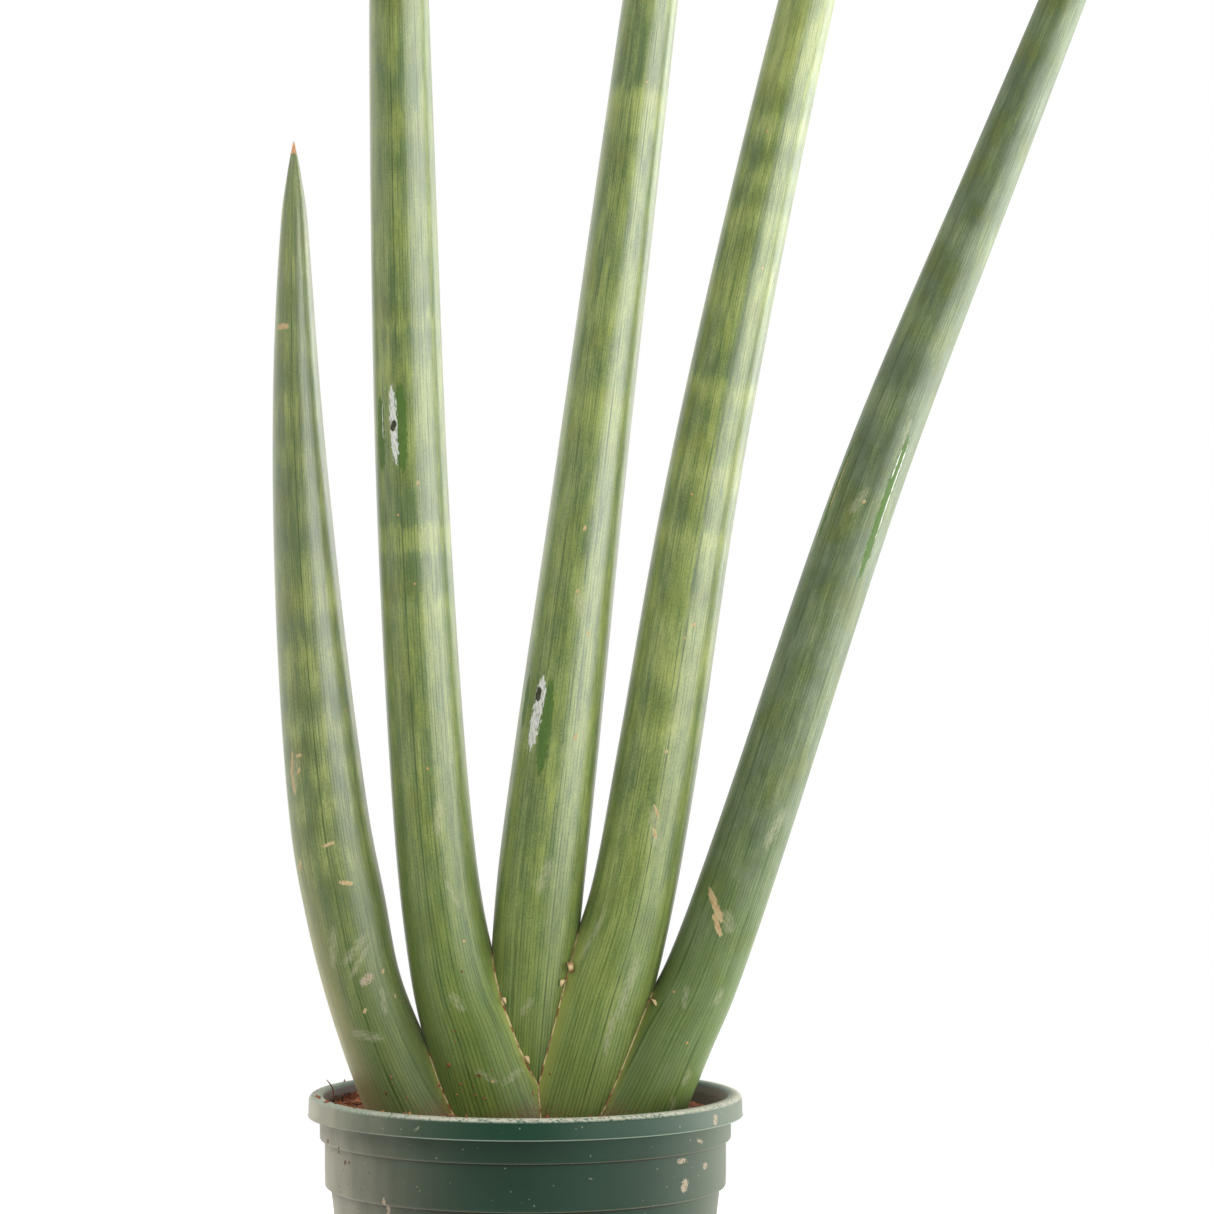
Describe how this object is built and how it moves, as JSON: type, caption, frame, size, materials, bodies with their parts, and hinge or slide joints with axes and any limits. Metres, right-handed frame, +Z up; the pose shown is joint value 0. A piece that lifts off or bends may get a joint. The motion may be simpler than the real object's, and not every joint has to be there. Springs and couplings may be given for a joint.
{
  "type": "potted snake plant",
  "caption": "Cylindrical snake plant: round pointed leaves fan out in one plane from clasping bases, rooted in potting mix in a round stepped plastic nursery pot with a turned-down rim.",
  "frame": {"origin": "middle of the flat base of the pot, on the ground", "axes": "+Z up, +X towards the long leaning leaf at the right of the fan, -Y towards the front of the fan"},
  "size_m": [0.3057, 0.14, 0.664],
  "materials": {
    "pot_plastic": "satin dark green moulded plastic, lightly scuffed and dusty",
    "potting_mix": "loose brown coir and peat, matt",
    "root_tissue": "matt orange-brown rhizome and roots",
    "leaf_skin": "satin waxy green with darker cross bands and fine grooves along the leaf"
  },
  "bodies": {
    "root": {"nursery_pot": "pot_plastic", "potting_mix": "potting_mix", "rhizome_and_roots": "root_tissue", "leaf_centre": "leaf_skin", "leaf_right_inner": "leaf_skin", "leaf_left_inner": "leaf_skin", "leaf_right_outer": "leaf_skin", "leaf_left_outer": "leaf_skin"}
  },
  "joints": []
}
